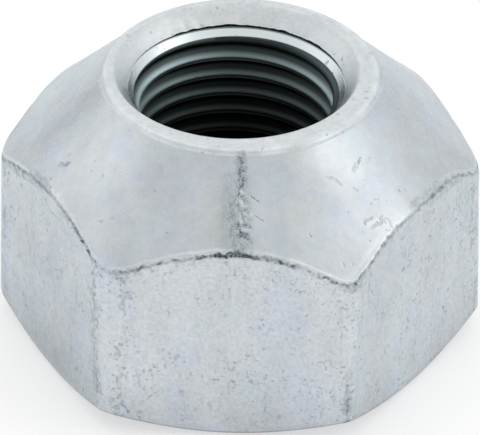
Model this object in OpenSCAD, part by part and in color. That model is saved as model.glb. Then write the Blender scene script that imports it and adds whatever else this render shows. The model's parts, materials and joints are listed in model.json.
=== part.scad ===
// Wheel lug nut, cold forged from hexagon bar: a hexagon body with rounded
// edges, a chamfered base, a tapered seat cone and a flat nose around the bore.
// The base stands on Z = 0 and the nose points up, with two edges on the X axis.

/* [Hexagon] */
// Distance between opposite flats
across_flats = 25.4; // [22:0.1:32]
// Rounding of the six vertical edges
edge_radius = 2; // [0.5:0.1:5]
// Height from the base to the nose
nut_height = 17.46; // [14:0.01:24]

/* [Base] */
// How far the flat ring that the nut stands on stays inside the flats
base_inset = 0.5; // [0.1:0.1:3]
// Slope of the chamfer around the base, in degrees
base_chamfer_angle = 30; // [10:1:45]
// Room around the stud at the mouth of the base countersink
base_clearance = 0.45; // [0.1:0.05:2]

/* [Seat cone] */
// Slope of the seat cone, in degrees
cone_angle = 45; // [30:1:55]
// Width of the flat land on the nose
nose_land = 1.12; // [0.5:0.01:2]
// Height of the upright wall between the cone and the rounded rim
rim_wall = 0.1; // [0.05:0.01:1]
// Rounding of the rim around the nose
rim_radius = 0.2; // [0.05:0.01:0.6]

/* [Thread bore] */
// Nominal diameter of the wheel stud
stud_d = 12.7; // [10:0.1:14.3]
// Distance from one thread crest to the next
thread_pitch = 1.27; // [0.8:0.01:1.75]
// Extra width of the bore that leaves the thread crests flat
crest_allowance = 0.14; // [0:0.01:0.3]

/* [Mouth] */
// Room around the stud in the plain mouth above the thread
mouth_clearance = 0.11; // [0.05:0.01:0.5]
// Rounding of the edge between the mouth and the nose
mouth_radius = 0.54; // [0.1:0.01:1]
// Height of the upright wall below the rounding
mouth_wall = 0.36; // [0.02:0.01:1]
// Width of the ledge between the mouth and the thread's countersink
ledge_width = 0.1; // [0.02:0.01:0.25]

/* [Hidden] */
$fn = 96;
edge_angles = [0:60:300];
flat_r = across_flats / 2;
corner_r = flat_r / cos(30);
rounding_r = (flat_r - edge_radius) / cos(30);
stud_r = stud_d / 2;
thread_height = thread_pitch * cos(30);
bore_r = stud_r - thread_height * 5 / 8 + crest_allowance / 2;
base_r = flat_r - base_inset;
countersink_r = stud_r + base_clearance;
mouth_r = stud_r + mouth_clearance;
ledge_r = mouth_r - ledge_width;
mouth_bottom = nut_height - mouth_radius - mouth_wall;
land_inner_r = mouth_r + mouth_radius;
land_outer_r = land_inner_r + nose_land;
nose_r = land_outer_r + rim_radius;
cone_top = nut_height - rim_radius - rim_wall;

// Bar outline: straight flats that run into six round edges
module hexagon_bar() {
  linear_extrude(height = nut_height)
    union() {
      polygon([
        for (a = edge_angles)
          for (side = [-30, 30])
            rounding_r * [cos(a), sin(a)] + edge_radius * [cos(a + side), sin(a + side)]
      ]);
      for (a = edge_angles)
        translate(rounding_r * [cos(a), sin(a)])
          circle(r = edge_radius);
    }
}

// Half section of the turned form, from the bore out past the edges of the bar
module turned_section() {
  chamfer_rise = (corner_r - base_r) * tan(base_chamfer_angle);
  cone_drop = (corner_r - nose_r) * tan(cone_angle);
  union() {
    polygon([
      [countersink_r, 0],
      [base_r, 0],
      [corner_r, chamfer_rise],
      [corner_r, cone_top - cone_drop],
      [nose_r, cone_top],
      [nose_r, cone_top + rim_wall],
      [land_outer_r, nut_height],
      [land_inner_r, nut_height],
      [mouth_r, nut_height - mouth_radius],
      [mouth_r, mouth_bottom],
      [ledge_r, mouth_bottom],
      [bore_r, mouth_bottom - (ledge_r - bore_r)],
      [bore_r, countersink_r - bore_r]
    ]);
    translate([land_outer_r, nut_height - rim_radius])
      circle(r = rim_radius);
    translate([land_inner_r, nut_height - mouth_radius])
      circle(r = mouth_radius);
  }
}

module lug_nut() {
  color([0.80, 0.82, 0.85])
    intersection() {
      hexagon_bar();
      rotate_extrude()
        turned_section();
    }
}

lug_nut();
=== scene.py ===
import json
import math

import bpy
import numpy as np
from mathutils import Matrix, Vector, noise


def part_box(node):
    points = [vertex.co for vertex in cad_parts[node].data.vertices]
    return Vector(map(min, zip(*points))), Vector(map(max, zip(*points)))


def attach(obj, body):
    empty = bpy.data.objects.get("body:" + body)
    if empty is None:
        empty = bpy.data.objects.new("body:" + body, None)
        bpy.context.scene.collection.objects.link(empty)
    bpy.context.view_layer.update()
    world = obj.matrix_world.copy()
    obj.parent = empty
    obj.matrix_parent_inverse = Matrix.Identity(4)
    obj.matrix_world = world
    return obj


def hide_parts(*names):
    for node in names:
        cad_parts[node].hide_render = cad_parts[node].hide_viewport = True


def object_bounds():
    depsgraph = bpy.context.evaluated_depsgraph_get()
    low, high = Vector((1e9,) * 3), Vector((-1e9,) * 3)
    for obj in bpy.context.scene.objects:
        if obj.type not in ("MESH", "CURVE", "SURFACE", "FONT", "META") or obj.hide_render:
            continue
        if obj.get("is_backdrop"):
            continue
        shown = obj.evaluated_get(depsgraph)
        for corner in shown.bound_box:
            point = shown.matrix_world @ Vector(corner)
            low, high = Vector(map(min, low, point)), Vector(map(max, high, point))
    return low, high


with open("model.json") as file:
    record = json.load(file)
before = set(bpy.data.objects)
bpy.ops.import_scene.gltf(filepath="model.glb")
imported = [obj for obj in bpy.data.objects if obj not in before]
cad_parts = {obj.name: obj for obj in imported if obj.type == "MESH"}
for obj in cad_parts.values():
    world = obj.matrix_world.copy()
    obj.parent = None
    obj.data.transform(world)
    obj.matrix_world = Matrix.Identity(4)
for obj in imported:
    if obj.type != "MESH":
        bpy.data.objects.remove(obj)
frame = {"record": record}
cad_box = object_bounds()

# Nut blank: a length of steel hexagon bar, cold forged in a die that rounds its
# six edges, chamfers its base and squeezes its upper half into the seat cone.
# Sizes are in millimetres, and the mesh is laid out as rings around the bore.
MM = 0.001
HALF_SIDE = math.pi / 6
high_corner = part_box("lug_nut")[1]
flat_r = high_corner.y / MM
nut_height = high_corner.z / MM
edge_radius = 2.0
flat_steps = 22
edge_steps = 22
# The six edges, counterclockwise from the one on the right: their radii, and how far they are rubbed.
edge_radii_top = np.array((2.3, 2.2, 2.2, 2.5, 2.3, 1.3))
edge_radii_foot = np.array((1.2, 2.0, 1.9, 1.9, 1.2, 0.7))
edge_rub_top = np.array((0.5, 0.4, 0.5, 0.6, 0.6, 0.2))
edge_rub_foot = np.array((0.5, 0.5, 0.4, 0.5, 1.0, 0.4))


def column_angles():
    """Angles of the mesh's columns, close together on the round edges and spread out on the flats."""
    half_flat = (flat_r - edge_radius) * math.tan(HALF_SIDE)
    along_flat = np.arctan(np.linspace(0, half_flat, flat_steps, endpoint=False) / flat_r)
    turn = np.linspace(-HALF_SIDE, HALF_SIDE, edge_steps, endpoint=False)
    centre_r = (flat_r - edge_radius) / math.cos(HALF_SIDE)
    on_edge = np.arctan2(edge_radius * np.sin(turn), centre_r + edge_radius * np.cos(turn))
    to_next = np.arctan(np.linspace(half_flat, 0, flat_steps, endpoint=False) / flat_r)
    sector = np.concatenate([along_flat - HALF_SIDE, on_edge, HALF_SIDE - to_next])
    return np.concatenate([k * 2 * HALF_SIDE + sector for k in range(6)])


theta = column_angles()
columns = len(theta)
outward = np.stack([np.cos(theta), np.sin(theta)], axis=1)
from_front = (np.degrees(theta) + 90 + 180) % 360 - 180
nearest_edge = np.round(theta / (2 * HALF_SIDE)).astype(int)
off_edge = theta - nearest_edge * 2 * HALF_SIDE


def on_edges(foot_values, top_values, share):
    """A value that each edge has of its own, at a share of the wall's height."""
    return (foot_values + (top_values - foot_values) * share)[nearest_edge % 6]


def wall_radius(share):
    """Distance from the axis to the wall at a share of its height, with each edge's own radius."""
    rounding = on_edges(edge_radii_foot, edge_radii_top, share)
    turn = np.abs(off_edge)
    centre_r = (flat_r - rounding) / math.cos(HALF_SIDE)
    flat_part = flat_r / np.cos(HALF_SIDE - turn)
    reach = np.maximum(rounding ** 2 - (centre_r * np.sin(turn)) ** 2, 0)
    round_part = centre_r * np.cos(turn) + np.sqrt(reach)
    tangent = np.arctan2(rounding * math.sin(HALF_SIDE), centre_r + rounding * math.cos(HALF_SIDE))
    return np.where(turn < tangent, round_part, flat_part)


def ripple(size, seed):
    """Smooth random waves around the nut, from -1 to 1, about size millimetres long at the wall."""
    spread = flat_r / size
    return np.array([noise.noise(Vector((x * spread, y * spread, seed))) for x, y in outward])


def forging_waves(points):
    """Long and short waves that the die leaves in the surface, in millimetres."""
    long_length, long_height = 3.6, 0.022
    short_length, short_height = 0.9, 0.006
    elsewhere = Vector((7, 3, 1))
    long_wave = [noise.noise(Vector(p) / long_length) for p in points]
    short_wave = [noise.noise(Vector(p) / short_length + elsewhere) for p in points]
    return long_height * np.array(long_wave) + short_height * np.array(short_wave)


def edge_marks(share):
    """How far each column is from its edge, in half widths of the rounding, and that edge's rub."""
    half_arc = on_edges(edge_radii_foot, edge_radii_top, share) * HALF_SIDE
    off = wall_radius(share) * off_edge / half_arc
    return {"edge": off, "rub": on_edges(edge_rub_foot, edge_rub_top, share)}


# Marks tell the finish what it covers, painted light and shade among them. Seam and edge are distances, and
# the others are strengths.
FAR = 9.0
plain_marks = {"wall": 0.0, "dull": 0.0, "nose": 0.0, "burr": 0.0, "cut": 0.0, "bore": 0.0, "shine": 0.0,
               "seam": FAR, "fold": 0.0, "smear": 0.0, "edge": FAR, "rub": 0.0}
marks = {name: [] for name in plain_marks}
rings = []


def add_ring(radius, height, centre=(0.0, 0.0), slope=0.0, waves=0.0, **values):
    """One ring of vertices, with its marks for the finish. Slope is the tilt of the surface's normal."""
    radius = np.broadcast_to(radius, columns)
    height = np.broadcast_to(height, columns)
    ring = np.column_stack([outward * radius[:, None] + np.array(centre), height])
    if waves:
        swell = waves * forging_waves(ring)
        ring[:, :2] += outward * (swell * np.cos(slope))[:, None]
        ring[:, 2] += swell * np.sin(slope)
    rings.append(ring)
    for name, rows in marks.items():
        rows.append(np.broadcast_to(values.get(name, plain_marks[name]), columns))


# Base and chamfer: the flat ring that the nut stands on, around a countersink,
# and the 30 degree chamfer that lifts its corners off the ground.
base_inset = 0.5
base_edge = 0.1
base_r = flat_r - base_inset
ring_r = base_r - base_edge
chamfer_slope = math.radians(30)
countersink_r = 6.8
thread_low = 0.7
thread_low_r = countersink_r - thread_low
edge_break = 0.03
end_shine = 0.15
foot_r = wall_radius(0)
foot_z = np.maximum(foot_r - base_r, 0) * math.tan(chamfer_slope)
foot_round = 0.16
add_ring(thread_low_r, thread_low, bore=1, shine=end_shine)
add_ring(thread_low_r + edge_break, thread_low - edge_break, cut=1)
for share in np.linspace(0, 1, 4):
    add_ring(countersink_r + (ring_r - countersink_r) * share, 0.0, nose=1)
for share in np.linspace(0.04, 1, 5, endpoint=False):
    add_ring(base_r + (foot_r - base_r) * share, foot_z * share, wall=1)
# Painted shadow: a dark line painted along the bottom edge.
add_ring(foot_r - foot_round * 0.35, foot_z - foot_round * 0.06, wall=1, burr=0.5)
add_ring(foot_r - foot_round * 0.1, foot_z + foot_round * 0.25, wall=1, burr=0.4, **edge_marks(0))
add_ring(foot_r, foot_z + foot_round, wall=1, **edge_marks(0))


# Flats, fold and seat cone: the die's cone cuts the flats in six arches. Along
# them the skin of the cone folds over the flats as a thin torn lip.
def humps(*places):
    """Smooth humps around the nut, each with a height, an angle from the front and a width in degrees."""
    return sum(height * np.exp(-((from_front - angle) / width) ** 2) for height, angle, width in places)


cone_slope = math.radians(45)
nose_r = 8.32
rim_wall = 0.02
rim_round = 0.28
cone_top = nut_height - rim_round - rim_wall
cone_centre = np.array((0.0, -0.12))
top_r = wall_radius(1)
top_marks = edge_marks(1)
cone_r = np.hypot(*(outward * top_r[:, None] - cone_centre).T)
back_swell = humps((0.18, -116, 9), (0.18, 123, 11))
seam_z = cone_top - (cone_r - nose_r) * math.tan(cone_slope) + back_swell
on_rounding = np.exp(-top_marks["edge"] ** 2)
behind = np.clip((np.abs(from_front) - 85) / 20, 0, 1)
sharpened = 1 - humps((0.5, 46, 13))
seam_round = (0.2 - 0.1 * behind + 0.3 * on_rounding * (1 - 0.6 * behind)) * sharpened
fold_shift = humps((0.22, 0, 13), (0.24, 18, 9), (0.1, 31, 5), (-0.14, 60, 8), (0.42, 80, 9),
                   (-0.22, -72, 14), (-0.12, -90, 6), (0.16, -30, 4))
fold_shift += 0.08 * ripple(2.5, 5.5) + 0.07 * ripple(0.8, 7.5) + 0.05 * ripple(0.45, 3.5)
fold_strength = 0.16 + 0.25 * ripple(2.4, 1.5)
fold_strength += humps((0.18, 0, 32), (0.7, -1, 8), (0.2, 11, 6), (-0.15, -54, 9), (0.15, -39, 4),
                       (-0.2, 64, 6))
fold_strength = np.clip(fold_strength, 0.04, 1)
smear_strength = 0.35 + 0.6 * ripple(2.0, 9.5)
smear_strength += humps((0.5, -76, 7), (0.7, 31, 4), (0.3, 72, 9), (0.1, -28, 6), (-0.3, 5, 16))
smear_strength = np.clip(smear_strength, 0, 1)
on_fold = {"fold": fold_strength, "smear": smear_strength}
groove_below, groove_width = 0.06, 0.08
groove_depth = 0.02 + 0.10 * fold_strength
lip_above, lip_width = 0.2, 0.13
lip_height = (0.03 + 0.03 * ripple(0.9, 4.5)) * (1 - 0.6 * on_rounding) * sharpened
# Painted shade and light: the left flat is painted darker and the right flat lighter, most of all low down,
# and the lower right of the cone darker.
dull_flat = humps((0.8, -56, 17), (-0.5, 55, 12))
dull_cone = humps((1.0, 40, 10))
wall_rows = 36
seam_rows = 29
cone_rows = 38
seam_reach = 0.62
wall_low = foot_z + foot_round
wall_high = seam_z - seam_reach
for share in np.linspace(0, 1, wall_rows, endpoint=False)[1:]:
    height = wall_low + (wall_high - wall_low) * share
    add_ring(wall_radius(share), height, waves=1, wall=1, dull=dull_flat * (1 - share),
             seam=height - seam_z, **edge_marks(share), **on_fold)
rise_share = math.sin(cone_slope)
for row in np.linspace(-seam_reach, seam_reach, seam_rows):
    blend = np.clip((row + seam_round) / (2 * seam_round), 0, 1)
    rounded = abs(row) < seam_round
    inward = np.where(rounded, blend ** 2 * seam_round, max(row, 0)) * rise_share
    rise = np.where(rounded, (blend ** 2 * rise_share - (1 - blend) ** 2) * seam_round,
                    min(row, 0) + max(row, 0) * rise_share)
    past_fold = row - fold_shift
    groove = groove_depth * np.exp(-((past_fold + groove_below) / groove_width) ** 2)
    lip = lip_height * np.exp(-((past_fold - lip_above) / lip_width) ** 2)
    swell = lip - groove
    slope = blend * cone_slope
    radius = top_r - inward + swell * np.cos(slope)
    height = seam_z + rise + swell * np.sin(slope)
    add_ring(radius, height, slope=slope, waves=1, wall=1 - blend, seam=past_fold,
             edge=top_marks["edge"], rub=(1 - blend) * top_marks["rub"], **on_fold)
start_r = top_r - seam_reach * math.cos(cone_slope)
start_z = seam_z + seam_reach * math.sin(cone_slope)
for share in np.linspace(0, 1, cone_rows)[1:]:
    radius = start_r + (nose_r - start_r) * share
    height = start_z + (cone_top - start_z) * share
    above = seam_reach - fold_shift + (start_r - radius) / math.cos(cone_slope)
    dull_share = math.sin(math.pi * min(share + 0.25, 1)) ** 2
    add_ring(radius, height, cone_centre * share, slope=cone_slope, waves=1 - share ** 4, seam=above,
             dull=dull_cone * dull_share, **on_fold)

# Nose: the flat land that was faced square to the bore, with a rounded rim
# outside and a rounded mouth inside.
nose_centre = cone_centre * 0.8
land_outer = nose_r - rim_round
land_inner = 7.35
land_dish = 0.02
land_low = nut_height - land_dish
tool_groove_at, tool_groove_width, tool_groove_depth = 0.25, 0.1, 0.025
mouth_centre = np.array((-0.3, 0.35))
mouth_bend = 1.25
mouth_r = 6.46
mouth_bottom = 16.58
bore_centre = np.array((-0.25, 0.0))
rim_scuff = np.clip(0.25 + 0.6 * ripple(1.4, 12.5), 0, 0.6)
for turn in np.radians((8, 26, 44, 60, 75, 90)):
    add_ring(land_outer + rim_round * math.cos(turn), nut_height - rim_round * (1 - math.sin(turn)),
             nose_centre, nose=1, cut=rim_scuff)
for share in np.linspace(0, 1, 9)[1:]:
    groove = tool_groove_depth * math.exp(-((share - tool_groove_at) / tool_groove_width) ** 2)
    add_ring(land_outer + (land_inner - land_outer) * share, nut_height - land_dish * share - groove,
             nose_centre * (1 - share) + mouth_centre * share, nose=1,
             cut=rim_scuff * max(0.7 - 2 * share, 0))
# Painted light: the mouth is painted lighter towards its left and right sides, more so lower down.
for share in (0.06, 0.14, 0.26, 0.44, 0.7):
    add_ring(land_inner + (mouth_r - land_inner) * share,
             land_low - (land_low - mouth_bottom) * share ** mouth_bend,
             mouth_centre * (1 - share) + bore_centre * share, nose=1,
             cut=0.9 * share * outward[:, 0] ** 2)

# Burr and thread: the tap left a torn edge where it met the mouth, a short
# countersink, and a right-hand thread of 20 turns to the inch.
stud_mount = next(m for m in frame["record"]["mounts"] if m["name"] == "stud_thread")
bore_r = stud_mount["dims"]["r_mm"]
pitch = 1.27
past_back = (from_front + 360) % 360 - 180
torn_share = np.exp(-((past_back + 15) / 58) ** 4)
torn = np.abs(ripple(1.0, 2.5)) * (0.03 + 0.14 * torn_share)
burr_gap = 0.12 + 0.14 * torn_share
# How dark the painted shadow under the torn edge is, darkest towards the back.
burr_grime = 0.85 + 0.15 * torn_share
burr_r = mouth_r + 0.05
ledge_r = mouth_r - 0.02
thread_top = 16.0
thread_top_r = 6.10
add_ring(mouth_r - 0.3 * torn, mouth_bottom + torn, bore_centre, nose=1)
# Painted shadow: the undercut below the torn edge is painted dark.
add_ring(burr_r, mouth_bottom + 0.5 * torn - 0.01, bore_centre, burr=burr_grime)
add_ring(burr_r, mouth_bottom - 0.8 * burr_gap, bore_centre, burr=burr_grime)
add_ring(ledge_r, mouth_bottom - burr_gap, bore_centre, cut=1)
add_ring(thread_top_r + edge_break, thread_top + edge_break, bore_centre, cut=1)
add_ring(thread_top_r, thread_top, bore_centre, bore=1, shine=end_shine)
outer_rings = len(rings)
# One turn of the thread: the height above its crest, the depth of the cut and the painted light at each step,
# high for a painted highlight near the crest and low for painted shade in the root.
thread_profile = ((0.0, 0.0, 0.4), (0.11, 0.01, 1.0), (0.22, 0.13, 0.75), (0.36, 0.33, 0.25),
                  (0.52, 0.58, 0.02), (0.70, 0.60, 0.02), (0.98, 0.20, 0.3), (1.12, 0.02, 0.55))
per_turn = len(thread_profile)
# Painted highlight: the thread is painted lighter on its left and right sides.
side_shine = 0.72 + 1.7 * outward[:, 0] ** 2
shade_depth, shade_length = 0.3, 0.6
crest_height = 14.36
first_turn = -math.ceil(crest_height / pitch) - 1
last_turn = math.ceil((thread_top - crest_height) / pitch) + 1


def drilled_radius(height):
    """Radius of the countersinks at both ends of the bore, or of the plain bore between them."""
    from_top = thread_top_r - (thread_top - height)
    from_base = countersink_r - height
    return np.maximum(np.maximum(from_top, from_base), bore_r)


points = list(rings)
point_rows = []
count = outer_rings * columns
helix_rise = pitch * theta / (2 * math.pi)
touching = 1e-6
for turn in range(first_turn, last_turn):
    for along, depth, shine in thread_profile:
        height = np.clip(crest_height + turn * pitch + along + helix_rise, thread_low, thread_top)
        radius = np.maximum(drilled_radius(height), bore_r + depth)
        at_top = height > thread_top - touching
        at_base = height < thread_low + touching
        free = ~(at_top | at_base)
        row = np.where(at_top, (outer_rings - 1) * columns, 0) + np.arange(columns)
        row[free] = count + np.arange(free.sum())
        count += free.sum()
        point_rows.append(row)
        placed = np.column_stack([outward * radius[:, None] + bore_centre, height])
        points.append(placed[free])
        # Painted shade: the thread is painted darker close to its top.
        below_shade = np.clip((thread_top - shade_depth - height) / shade_length, 0.1, 1)
        values = {"bore": 1.0, "shine": shine * side_shine * below_shade}
        for name, rows in marks.items():
            rows.append(np.broadcast_to(values.get(name, plain_marks[name]), columns)[free])

faces = []


def add_face(*corners):
    """Keeps a face unless its corners run together, as they do where the thread dies out at its ends."""
    kept = [c for k, c in enumerate(corners) if c != corners[k - 1]]
    if len(kept) > 2:
        faces.append(kept)


for ring in range(outer_rings - 1):
    low, high = ring * columns, (ring + 1) * columns
    for col in range(columns):
        beside = (col + 1) % columns
        add_face(low + col, low + beside, high + beside, high + col)
for row in range(len(point_rows) - 1):
    for col in range(columns):
        beside = (col + 1) % columns
        step = per_turn if beside == 0 else 0
        if row + 1 + step < len(point_rows):
            low, high = point_rows[row], point_rows[row + 1]
            low_beside, high_beside = point_rows[row + step], point_rows[row + 1 + step]
            add_face(high[col], high_beside[beside], low_beside[beside], low[col])

nut_mesh = bpy.data.meshes.new("lug_nut_forged")
nut_mesh.from_pydata((np.concatenate(points) * MM).tolist(), [], faces)
nut_mesh.validate()
nut_mesh.shade_smooth()
sharp_rings = (0, 2, outer_rings - 6, outer_rings - 3, outer_rings - 1)
crease = np.zeros(count, int)
for number, ring in enumerate(sharp_rings, start=1):
    crease[ring * columns:(ring + 1) * columns] = number
ends = np.empty(2 * len(nut_mesh.edges), int)
nut_mesh.edges.foreach_get("vertices", ends)
first_end, second_end = crease[ends.reshape(-1, 2)].T
sharp_edges = (first_end == second_end) & (first_end > 0)
nut_mesh.attributes.new("sharp_edge", "BOOLEAN", "EDGE").data.foreach_set("value", sharp_edges)
for name, rows in marks.items():
    attribute = nut_mesh.attributes.new(name, "FLOAT", "POINT")
    attribute.data.foreach_set("value", np.concatenate(rows).astype(np.float32))
nut = bpy.data.objects.new("lug_nut_forged", nut_mesh)
bpy.context.scene.collection.objects.link(nut)
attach(nut, "root")
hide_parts("lug_nut")


# Zinc plating: a thin bright coat over the forged steel, cloudy and pitted on the flats and satin on the
# cone.
# Down in the thread its colour is painted darker with depth, as painted shade.
def node(tree, kind, links=None, **settings):
    """Adds a node, sets its properties, and links or sets its inputs by name or number."""
    made = tree.nodes.new(kind)
    for name, value in settings.items():
        setattr(made, name, value)
    for name, value in (links or {}).items():
        if isinstance(value, bpy.types.NodeSocket):
            tree.links.new(value, made.inputs[name])
        else:
            made.inputs[name].default_value = value
    return made


def calc(tree, operation, *values):
    """A sum on one to three values."""
    return node(tree, "ShaderNodeMath", dict(enumerate(values)), operation=operation).outputs[0]


def times(tree, *values):
    """All the values multiplied."""
    result = values[0]
    for value in values[1:]:
        result = calc(tree, "MULTIPLY", result, value)
    return result


def weighted(tree, base, *parts):
    """A base value, to which each part adds its mask times its weight."""
    for mask, weight in parts:
        base = calc(tree, "MULTIPLY_ADD", mask, weight, base)
    return base


def stronger(tree, mask, other, strength=1.0):
    """The stronger of two masks at each point, with the other one brought to its strength first."""
    return calc(tree, "MAXIMUM", mask, times(tree, other, strength))


def fade(tree, value, start, end, low=0.0, high=1.0):
    """Goes smoothly from low to high as the value goes from start to end."""
    links = {"Value": value, "From Min": start, "From Max": end, "To Min": low, "To Max": high}
    return node(tree, "ShaderNodeMapRange", links, interpolation_type="SMOOTHSTEP").outputs[0]


def vector_calc(tree, operation, first, second=(0.0, 0.0, 0.0)):
    """A sum on vectors. It gives a value for a product, distance or length, and else a vector."""
    slot = "Scale" if operation == "SCALE" else 1
    made = node(tree, "ShaderNodeVectorMath", {0: first, slot: second}, operation=operation)
    gives_value = operation in ("DOT_PRODUCT", "DISTANCE", "LENGTH")
    return made.outputs["Value" if gives_value else "Vector"]


def noise_at(tree, position, scale, detail=2.0, colour=False):
    """Noise from 0 to 1, at a number of waves per millimetre, as a value or as a colour of three values."""
    links = {"Vector": position, "Scale": scale, "Detail": detail}
    return node(tree, "ShaderNodeTexNoise", links).outputs[1 if colour else 0]


def mix(tree, share, first, second):
    """One colour laid over another by a mask."""
    return node(tree, "ShaderNodeMix", {0: share, 6: first, 7: second}, data_type="RGBA").outputs[2]


def new_group(name, vectors, values, masks):
    """A node group that makes masks from vectors and values, and the sockets inside it."""
    group = bpy.data.node_groups.new(name, "ShaderNodeTree")
    for way, kind, sockets in (("INPUT", "Vector", vectors), ("INPUT", "Float", values),
                               ("OUTPUT", "Float", masks)):
        for socket in sockets:
            group.interface.new_socket(socket, in_out=way, socket_type="NodeSocket" + kind)
    return group, node(group, "NodeGroupInput").outputs, node(group, "NodeGroupOutput").inputs


def effect(tree, group, **given):
    """Places a node group with its own inputs, and gives its masks."""
    return node(tree, "ShaderNodeGroup", given, node_tree=group).outputs


def pitting_group():
    """Small dark pits of mixed size, one in some of the cells of a random pattern."""
    group, given, made = new_group("pitting", ["Position"], ["Spacing", "Size", "Share"], ["Mask"])
    scale = calc(group, "DIVIDE", 1.0, given["Spacing"])
    cells = node(group, "ShaderNodeTexVoronoi", {"Vector": given["Position"], "Scale": scale}).outputs
    chance = node(group, "ShaderNodeSeparateColor", {0: cells["Color"]}).outputs
    size = times(group, given["Size"], scale, chance[0])
    inside = fade(group, cells["Distance"], size, times(group, size, 0.3))
    present = calc(group, "LESS_THAN", chance[1], given["Share"])
    strength = weighted(group, 0.25, (chance[2], 0.75))
    group.links.new(times(group, inside, present, strength), made["Mask"])
    return group


def speck_group():
    """Dark specks and flecks of uneven shape, which lie closer together as the density goes up."""
    group, given, made = new_group("specks", ["Position"], ["Scale", "Density"], ["Mask"])
    blot = noise_at(group, given["Position"], given["Scale"], 4.0)
    limit = weighted(group, 0.74, (given["Density"], -0.2))
    group.links.new(fade(group, blot, limit, calc(group, "ADD", limit, 0.08)), made["Mask"])
    return group


def nick_group():
    """A dark nick or scratch along a line between two points on the surface, and the raised rim around it."""
    group, given, made = new_group("nick", ["Position", "Start", "End"], ["Width"], ["Mask", "Rim"])
    line = vector_calc(group, "SUBTRACT", given["End"], given["Start"])
    offset = vector_calc(group, "SUBTRACT", given["Position"], given["Start"])
    along = calc(group, "DIVIDE", vector_calc(group, "DOT_PRODUCT", offset, line),
                 vector_calc(group, "DOT_PRODUCT", line, line))
    along = calc(group, "MINIMUM", calc(group, "MAXIMUM", along, 0.0), 1.0)
    apart = vector_calc(group, "DISTANCE", offset, vector_calc(group, "SCALE", line, along))
    apart = calc(group, "DIVIDE", apart, given["Width"])
    group.links.new(fade(group, apart, 1.0, 0.45), made["Mask"])
    rim = times(group, fade(group, apart, 0.7, 1.1), fade(group, apart, 1.6, 1.1))
    group.links.new(rim, made["Rim"])
    return group


def fold_group():
    """The torn line under the cone's lip, painted dark for dirt and for the shade in the crease, the rough
    grey smear below it, and a painted highlight along the lip above it.
    """
    group, given, made = new_group("fold", ["Position"], ["Seam", "Fold", "Smear"], ["Line", "Band", "Lip"])
    position = given["Position"]
    jag = weighted(group, -0.25, (noise_at(group, position, 2.8, 5.0), 0.5))
    place = calc(group, "ADD", given["Seam"], jag)
    patchy = fade(group, noise_at(group, position, 1.8, 5.0), 0.34, 0.6, low=0.15)
    fleck = fade(group, noise_at(group, position, 5.0, 4.0), 0.44, 0.62, low=0.6, high=1.6)
    strength = times(group, weighted(group, 0.2, (given["Fold"], 0.8)), patchy)
    width = weighted(group, 0.2, (strength, 0.06))
    # Painted shade: the line is painted dark for the shade in the crease, as well as for dirt.
    off_line = calc(group, "ABSOLUTE", calc(group, "ADD", place, 0.05))
    line = fade(group, off_line, width, times(group, width, 0.2))
    line = times(group, line, fleck, calc(group, "POWER", strength, 0.7))
    group.links.new(calc(group, "MINIMUM", line, 1.0), made["Line"])
    rough = fade(group, noise_at(group, position, 4.0, 5.0), 0.4, 0.6, low=0.1)
    low_end = weighted(group, -0.2, (given["Smear"], -0.45))
    above_end = fade(group, place, calc(group, "SUBTRACT", low_end, 0.15), low_end)
    below_line = fade(group, place, 0.12, -0.02)
    group.links.new(times(group, above_end, below_line, rough, given["Smear"]), made["Band"])
    # Painted highlight: a bright band along the lip, just above the line.
    lip = times(group, fade(group, place, 0.08, 0.24), fade(group, place, 0.42, 0.26))
    group.links.new(times(group, lip, weighted(group, 0.2, (patchy, 0.8))), made["Lip"])
    return group


def edge_group():
    """Broken dark lines along both sides of a rounded edge, the rubbed band between, and the crust around."""
    group, given, made = new_group("edge_rub", ["Position"], ["Edge", "Rub"], ["Lines", "Band", "Crust"])
    position = given["Position"]
    wander = weighted(group, -0.5, (noise_at(group, position, 0.6, 5.0), 1.0))
    off = calc(group, "ADD", calc(group, "ABSOLUTE", given["Edge"]), wander)
    beside = calc(group, "ABSOLUTE", calc(group, "SUBTRACT", off, 0.95))
    long_breaks = fade(group, noise_at(group, position, 0.5, 2.0), 0.48, 0.6)
    short_breaks = fade(group, noise_at(group, position, 3.0, 4.0), 0.42, 0.58)
    line = fade(group, beside, 0.14, 0.02)
    broken = times(group, long_breaks, short_breaks)
    group.links.new(times(group, line, broken, given["Rub"]), made["Lines"])
    group.links.new(times(group, fade(group, off, 1.0, 0.75), given["Rub"]), made["Band"])
    group.links.new(times(group, fade(group, beside, 0.9, 0.1), given["Rub"]), made["Crust"])
    return group


def on_cone(angle, down):
    """A point on the seat cone, at an angle from the front in degrees and a distance down from the nose."""
    cone_length = 6
    radius = nose_r + down * math.cos(cone_slope)
    turned = math.radians(angle - 90)
    shift_x, shift_y = cone_centre * max(1 - down / cone_length, 0)
    return (radius * math.cos(turned) + shift_x, radius * math.sin(turned) + shift_y,
            cone_top - down * math.sin(cone_slope))


def on_wall(angle, height):
    """A point on the wall, at an angle from the front in degrees and a height above the base."""
    turned = math.radians(angle - 90)
    radii = wall_radius(min(height / seam_z.min(), 1))
    radius = np.interp(turned, theta, radii, period=2 * math.pi)
    return (radius * math.cos(turned), radius * math.sin(turned), height)


plain_zinc = (0.574, 0.607, 0.627, 1)
lilac_zinc = (0.562, 0.599, 0.649, 1)
teal_zinc = (0.551, 0.612, 0.645, 1)
nose_zinc = (0.620, 0.640, 0.645, 1)
cut_zinc = (0.700, 0.760, 0.780, 1)
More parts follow.
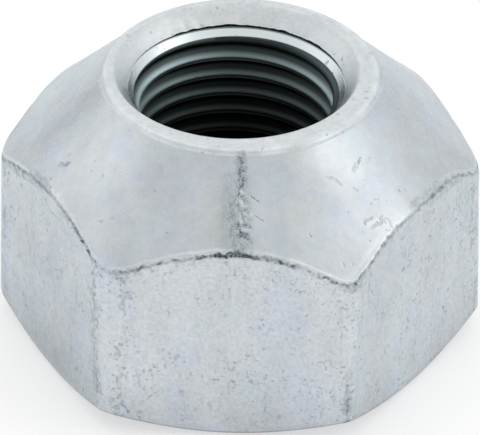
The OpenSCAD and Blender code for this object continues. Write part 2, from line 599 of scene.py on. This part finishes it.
# Grime and shadow: the dark colour of the fold line, and of the painted shadow under the torn edge and along
# the foot.
grime = (0.060, 0.085, 0.088, 1)
bare_steel = (0.20, 0.25, 0.26, 1)
torn_steel = (0.11, 0.155, 0.165, 1)
thread_steel = (0.52, 0.66, 0.68)
zinc = bpy.data.materials.new("zinc_plate")
zinc.use_nodes = True
coat = zinc.node_tree
shader = coat.nodes["Principled BSDF"]
shader.inputs["Metallic"].default_value = 1.0
shader.inputs["Specular Tint"].default_value = (0.84, 0.87, 0.89, 1)
mark = {name: node(coat, "ShaderNodeAttribute", attribute_name=name).outputs["Fac"] for name in marks}
in_metres = node(coat, "ShaderNodeTexCoord").outputs["Object"]
position = vector_calc(coat, "SCALE", in_metres, 1 / MM)
wobble = vector_calc(coat, "SUBTRACT", noise_at(coat, position, 2.6, 3.0, colour=True), (0.5, 0.5, 0.5))
torn_position = vector_calc(coat, "ADD", position, vector_calc(coat, "SCALE", wobble, 0.5))

# Tint: patches of lilac, teal and paler zinc, drawn out upright.
upright = vector_calc(coat, "MULTIPLY", position, (1.0, 1.0, 0.5))
patches = node(coat, "ShaderNodeSeparateColor", {0: noise_at(coat, upright, 0.42, 3.0, colour=True)}).outputs
colour = mix(coat, fade(coat, patches[0], 0.48, 0.6), plain_zinc, lilac_zinc)
colour = mix(coat, fade(coat, patches[1], 0.54, 0.66), colour, teal_zinc)

# Fold and edges: torn and smeared along the six arches, with painted shade in the crease and a painted
# highlight on the lip, and rubbed on the six edges.
fold = effect(coat, fold_group(), Position=position, Seam=mark["seam"], Fold=mark["fold"],
              Smear=mark["smear"])
edge = effect(coat, edge_group(), Position=position, Edge=mark["edge"], Rub=mark["rub"])

# Skin: a mottled grain all over, with drag lines, pits and specks that are thickest on the flats and edges.
drag_place = vector_calc(coat, "MULTIPLY", position, (1.0, 1.0, 0.09))
drag = times(coat, noise_at(coat, drag_place, 2.2, 4.0), mark["wall"])
grain = noise_at(coat, position, 4.5, 4.0)
mottle = noise_at(coat, position, 1.5, 3.0)
cluster = fade(coat, noise_at(coat, position, 0.6, 4.0), 0.38, 0.6, low=0.3)
skin = times(coat, weighted(coat, 0.14, (mark["wall"], 0.6)), cluster)
crust = weighted(coat, skin, (edge["Crust"], 0.65), (mark["nose"], 0.22))
pitting = pitting_group()
specks = speck_group()
speck_scale = 3.8
fleck_place = vector_calc(coat, "MULTIPLY", position, (1.0, 1.0, 0.3))
pit = 0.0
for spacing, size in ((0.36, 0.16), (0.85, 0.26)):
    made = effect(coat, pitting, Position=torn_position, Spacing=spacing, Size=size, Share=crust)
    pit = stronger(coat, pit, made["Mask"])
for place, strength in ((position, 0.9), (fleck_place, 0.5)):
    made = effect(coat, specks, Position=place, Scale=speck_scale, Density=crust)
    pit = stronger(coat, pit, made["Mask"], strength)

# Nicks: single dents and scratches from handling. The thinnest are clean, and the others have torn sides.
# Each line here and below has its two ends, its half width and its strength.
nick = nick_group()
clean_width = 0.115
nick_lines = (
    (on_cone(-63.4, 4.6), on_cone(-62.6, 4.4), 0.24, 0.6),
    (on_cone(-62.2, 4.5), on_cone(-61.3, 4.3), 0.22, 0.8),
    (on_cone(-61.3, 4.2), on_cone(-60.8, 4.1), 0.2, 0.6),
    (on_wall(-31.4, 10.9), on_wall(-31.0, 10.8), 0.12, 0.8),
    (on_wall(-27.4, 11.2), on_wall(-27.2, 11.1), 0.12, 0.7),
    (on_wall(-26.3, 11.1), on_wall(-26.0, 10.9), 0.14, 0.7),
    (on_wall(28.6, 10.9), on_wall(32.6, 10.8), 0.3, 0.35),
    (on_cone(50.0, 1.8), on_cone(48.2, 2.0), 0.18, 0.65),
    (on_cone(47.6, 2.0), on_cone(44.8, 2.3), 0.2, 0.4),
    (on_cone(34.7, 2.0), on_cone(38.1, 2.7), 0.12, 0.35),
    (on_cone(42.0, 3.2), on_cone(43.0, 3.4), 0.12, 0.3),
    (on_cone(37.7, 5.9), on_cone(37.9, 6.0), 0.13, 0.7),
    (on_cone(-38.7, 5.8), on_cone(-37.5, 5.7), 0.12, 0.4),
    (on_cone(-35.3, 5.2), on_cone(-35.0, 5.3), 0.12, 0.4),
    (on_cone(-33.0, 6.7), on_cone(-33.4, 6.4), 0.1, 0.4),
    (on_cone(44.2, 5.7), on_cone(44.5, 5.8), 0.13, 0.5),
    (on_cone(6.7, 2.4), on_cone(9.1, 2.75), 0.10, 0.9),
    (on_cone(7.4, 3.55), on_cone(9.9, 3.9), 0.10, 0.7),
    (on_cone(3.8, 4.12), on_cone(5.6, 4.15), 0.11, 0.9),
    (on_cone(5.6, 4.15), on_cone(6.6, 4.38), 0.11, 0.9),
    (on_wall(29.4, 4.0), on_wall(29.2, 3.4), 0.13, 0.6),
    (on_wall(29.3, 3.1), on_wall(29.4, 2.0), 0.15, 0.75),
    (on_wall(29.0, 1.75), on_wall(29.0, 1.6), 0.12, 0.85),
    (on_wall(29.3, 1.5), on_wall(29.5, 1.15), 0.16, 0.95),
    (on_wall(-27.9, 1.75), on_wall(-26.7, 2.1), 0.12, 0.7),
    (on_wall(-26.7, 2.1), on_wall(-25.3, 1.9), 0.12, 0.6),
    (on_wall(-25.3, 1.9), on_wall(-24.5, 1.5), 0.12, 0.75),
    (on_wall(1.8, 4.1), on_wall(2.2, 3.8), 0.14, 0.7),
    (on_wall(5.7, 4.4), on_wall(6.0, 4.3), 0.12, 0.6),
    (on_wall(-58.8, 11.57), on_wall(-58.4, 11.56), 0.14, 0.7),
    (on_wall(-58.6, 11.56), on_wall(-53.0, 11.65), 0.12, 0.5),
)
nicked = 0.0
for start, end, width, strength in nick_lines:
    place = torn_position if width > clean_width else position
    made = effect(coat, nick, Position=place, Start=start, End=end, Width=width)
    nicked = stronger(coat, nicked, made["Mask"], strength)
uneven = fade(coat, noise_at(coat, position, 5.0, 4.0), 0.38, 0.6, low=0.3, high=1.1)
nicked = times(coat, nicked, uneven)

# Streak: a torn line up the front of the cone, where the blank dragged in the die, in a wide dull stain.
# The last three lines are grey smears above two of the arches and along an edge.
streak_lines = (
    (on_cone(3.3, 0.05), on_cone(3.4, 1.9), 0.52, 0.5),
    (on_cone(3.2, 0.1), on_cone(3.4, 1.0), 0.26, 0.8),
    (on_cone(3.4, 0.8), on_cone(3.5, 1.8), 0.30, 0.85),
    (on_cone(3.5, 1.7), on_cone(2.8, 2.3), 0.22, 1.0),
    (on_cone(2.8, 2.3), on_cone(3.5, 2.35), 0.18, 0.9),
    (on_cone(2.5, 2.4), on_cone(2.5, 3.0), 0.20, 0.7),
    (on_cone(3.9, 2.9), on_cone(4.7, 3.35), 0.20, 1.0),
    (on_cone(2.1, 4.1), on_cone(3.4, 4.45), 0.24, 1.0),
    (on_cone(3.4, 4.45), on_cone(4.9, 4.85), 0.26, 1.0),
    (on_cone(2.4, 2.8), on_cone(2.6, 5.3), 0.85, 0.55),
    (on_cone(3.8, 3.2), on_cone(4.0, 5.5), 0.70, 0.45),
    (on_cone(1.4, 1.6), on_cone(1.0, 5.2), 1.10, 0.28),
    (on_cone(58.5, 5.95), on_cone(71.0, 6.25), 0.42, 0.33),
    (on_cone(-70.5, 6.4), on_cone(-60.5, 6.15), 0.42, 0.34),
    (on_wall(29.7, 4.9), on_wall(29.7, 0.9), 0.34, 0.26),
)
streak = 0.0
for start, end, width, strength in streak_lines:
    made = effect(coat, nick, Position=torn_position, Start=start, End=end, Width=width)
    streak = stronger(coat, streak, made["Mask"], strength)
fibre_place = vector_calc(coat, "MULTIPLY", position, (1.0, 0.6, 0.6))
fibre = fade(coat, noise_at(coat, fibre_place, 4.5, 8.0), 0.34, 0.6, low=0.42)
grit = fade(coat, noise_at(coat, position, 10.0, 3.0), 0.36, 0.62, low=0.6, high=1.2)
streak = calc(coat, "MINIMUM", times(coat, streak, times(coat, fibre, grit)), 1.0)

# Flakes: slivers of plating that have lifted beside the streak and on the right of the cone. Their inside is
# painted a little lighter, as a painted highlight.
flake_lines = (
    (on_cone(3.5, 2.1), on_cone(3.8, 2.2), 0.17, 1.0),
    (on_cone(3.2, 2.75), on_cone(4.1, 3.0), 0.17, 1.0),
    (on_cone(5.1, 3.4), on_cone(5.7, 3.5), 0.15, 0.8),
    (on_cone(3.3, 3.5), on_cone(3.2, 4.0), 0.13, 0.8),
    (on_cone(4.2, 4.4), on_cone(6.1, 4.55), 0.15, 1.0),
    (on_cone(41.0, 5.5), on_cone(44.4, 5.48), 0.25, 1.0),
    (on_cone(45.8, 4.52), on_cone(47.0, 4.55), 0.14, 0.5),
    (on_cone(46.6, 5.85), on_cone(46.3, 6.2), 0.18, 0.5),
)
blister = 0.0
flake = 0.0
for start, end, width, strength in flake_lines:
    made = effect(coat, nick, Position=torn_position, Start=start, End=end, Width=width)
    blister = stronger(coat, blister, made["Rim"], strength)
    flake = stronger(coat, flake, made["Mask"], strength)
blister = times(coat, blister, fade(coat, noise_at(coat, position, 1.7, 4.0), 0.44, 0.58))
streak = times(coat, streak, calc(coat, "SUBTRACT", 1.0, flake))

# Nose: rings from the facing tool.
rings_per_mm = 3.5
from_axis = vector_calc(coat, "LENGTH", vector_calc(coat, "MULTIPLY", position, (1.0, 1.0, 0.0)))
ring_links = {"X": times(coat, from_axis, rings_per_mm), "Y": noise_at(coat, position, 0.15)}
ring_place = node(coat, "ShaderNodeCombineXYZ", ring_links).outputs[0]
turned = times(coat, noise_at(coat, ring_place, 1.0, 3.0), mark["nose"])

# Bore and foot: painted shade that darkens the thread with depth, painted highlights on its crests and
# painted shade in its roots, and painted shade on the flats low down.
light_top = 16.2
light_kept = 0.6
height_mm = node(coat, "ShaderNodeSeparateXYZ", {0: position}).outputs["Z"]
light = calc(coat, "POWER", light_kept, calc(coat, "SUBTRACT", light_top, height_mm))
light = times(coat, light, weighted(coat, 0.03, (mark["shine"], 0.97)))
bore_tone = vector_calc(coat, "SCALE", thread_steel, light)
# Painted shade: the walls are painted darker towards the foot.
foot_tone = fade(coat, height_mm, 5.0, 0.3, high=-0.09)

# Colour: the tinted zinc, lighter and darker in places, partly by painted shade and painted highlights, with
# each mark laid over it in turn.
grain_depth = weighted(coat, 0.12, (mark["wall"], 0.34), (mark["nose"], 0.5))
mottle_depth = weighted(coat, 0.18, (mark["nose"], 0.35))
grain_tone = calc(coat, "SUBTRACT", grain, 0.5)
mottle_tone = calc(coat, "SUBTRACT", mottle, 0.5)
shade = weighted(coat, 0.85, (patches[2], 0.3), (mottle_tone, mottle_depth), (drag, 0.08),
                 (edge["Band"], 0.05), (grain_tone, grain_depth), (turned, -0.3), (mark["nose"], 0.11),
                 (mark["dull"], -0.14), (mark["wall"], foot_tone), (fold["Lip"], 0.11), (flake, 0.07))
colour = vector_calc(coat, "SCALE", colour, shade)
layers = (
    (mark["nose"], 0.5, nose_zinc),
    (mark["cut"], 1.0, cut_zinc),
    (blister, 0.07, bare_steel),
    (fold["Band"], 0.5, bare_steel),
    (edge["Lines"], 0.75, bare_steel),
    (pit, 0.5, bare_steel),
    (nicked, 0.8, bare_steel),
    (streak, 1.0, torn_steel),
    (mark["bore"], 1.0, bore_tone),
    (mark["burr"], 0.8, grime),
    (fold["Line"], 0.9, grime),
)
for mask, cover, tone in layers:
    colour = mix(coat, times(coat, mask, cover), colour, tone)
coat.links.new(colour, shader.inputs["Base Color"])

# Gloss and relief: rougher where the surface is torn or pressed, with the marks cut in or standing up.
rough = weighted(coat, 0.22, (mark["wall"], 0.14), (grain, 0.1), (fold["Line"], 0.3), (streak, 0.1),
                 (mark["bore"], 0.2), (mark["nose"], 0.08))
coat.links.new(rough, shader.inputs["Roughness"])
grain_height = weighted(coat, 0.004, (mark["nose"], 0.008))
relief = weighted(coat, 0.0, (grain, grain_height), (drag, 0.006), (pit, -0.02), (nicked, -0.025),
                  (streak, -0.05), (turned, 0.006), (edge["Lines"], -0.03), (fold["Line"], -0.04),
                  (fold["Band"], -0.02), (blister, 0.035))
normal = node(coat, "ShaderNodeBump", {"Height": relief, "Distance": MM}).outputs[0]
coat.links.new(normal, shader.inputs["Normal"])
nut_mesh.materials.append(zinc)

# Floor: a matt white table that the nut stands on. It glows a little, so that it
# stays pale around the nut.
floor_r = 1.2
floor_z = -0.02 * MM
floor_sides = 64
around = np.linspace(0, 2 * math.pi, floor_sides, endpoint=False)
floor_points = [(math.cos(a) * floor_r, math.sin(a) * floor_r, floor_z) for a in around]
floor_mesh = bpy.data.meshes.new("table")
floor_mesh.from_pydata(floor_points, [], [list(range(floor_sides))])
table = bpy.data.objects.new("table", floor_mesh)
bpy.context.scene.collection.objects.link(table)
table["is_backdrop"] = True
white = bpy.data.materials.new("white_table")
white.use_nodes = True
floor_shader = white.node_tree.nodes["Principled BSDF"]
floor_shader.inputs["Base Color"].default_value = (0.58, 0.58, 0.58, 1)
floor_shader.inputs["Roughness"].default_value = 0.8
floor_shader.inputs["Emission Color"].default_value = (1, 1, 1, 1)
floor_shader.inputs["Emission Strength"].default_value = 0.42
floor_mesh.materials.append(white)

# Light: a white tent all round, brighter on the right, a little brighter on the
# left and behind, and dimmer at its front opening. Each panel has its azimuth and
# elevation, the angles at which it is full and at which it ends, and its change.
tent_level = 0.98
panels = (
    (88, 38, 5, 25, 0.50),
    (76, 24, 2, 16, 0.35),
    (-105, 28, 8, 30, 0.12),
    (-22, 52, 4, 54, -0.12),
    (-138, 6, 4, 24, -0.18),
    (138, 6, 4, 24, -0.10),
    (180, 35, 20, 50, 0.18),
    (180, 80, 10, 45, 0.14),
)


def towards(azimuth, elevation):
    """The direction at an azimuth, from the front to the right, and an elevation, in degrees."""
    turn, rise = math.radians(azimuth), math.radians(elevation)
    return (math.sin(turn) * math.cos(rise), -math.cos(turn) * math.cos(rise), math.sin(rise))


world = bpy.data.worlds.new("tent")
world.use_nodes = True
tent = world.node_tree
direction = node(tent, "ShaderNodeTexCoord").outputs["Generated"]
level = tent_level
for azimuth, elevation, inner, outer, change in panels:
    facing = vector_calc(tent, "DOT_PRODUCT", direction, towards(azimuth, elevation))
    panel = fade(tent, facing, math.cos(math.radians(outer)), math.cos(math.radians(inner)), high=change)
    level = calc(tent, "ADD", level, panel)
tent.nodes["Background"].inputs["Color"].default_value = (1, 1, 1, 1)
tent.links.new(level, tent.nodes["Background"].inputs["Strength"])
bpy.context.scene.world = world
bpy.context.scene.view_settings.view_transform = "Standard"

# Camera: a long lens that looks down on the front flat from about 35 degrees, a
# little from the right and almost level.
camera_azimuth = 2.74
camera_elevation = 34.62
roll = math.radians(0.69)
distance = 0.464
aim_height, aim_right, aim_down = 0.008, 0.00005, 0.000806
back = Vector(towards(camera_azimuth, camera_elevation))
side = Vector((math.cos(math.radians(camera_azimuth)), math.sin(math.radians(camera_azimuth)), 0))
up = back.cross(side)
aim = Vector((0, 0, aim_height)) + side * aim_right - up * aim_down
camera_data = bpy.data.cameras.new("camera")
camera_data.sensor_width = 36
camera_data.lens = 580.6
camera = bpy.data.objects.new("camera", camera_data)
bpy.context.scene.collection.objects.link(camera)
turned_side = side * math.cos(roll) + up * math.sin(roll)
turned_up = up * math.cos(roll) - side * math.sin(roll)
pose = Matrix((turned_side, turned_up, back)).transposed().to_4x4()
pose.translation = aim + back * distance
camera.matrix_world = pose
bpy.context.scene.camera = camera

size = {"cad": [list(c) for c in cad_box], "visual": [list(c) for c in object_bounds()]}
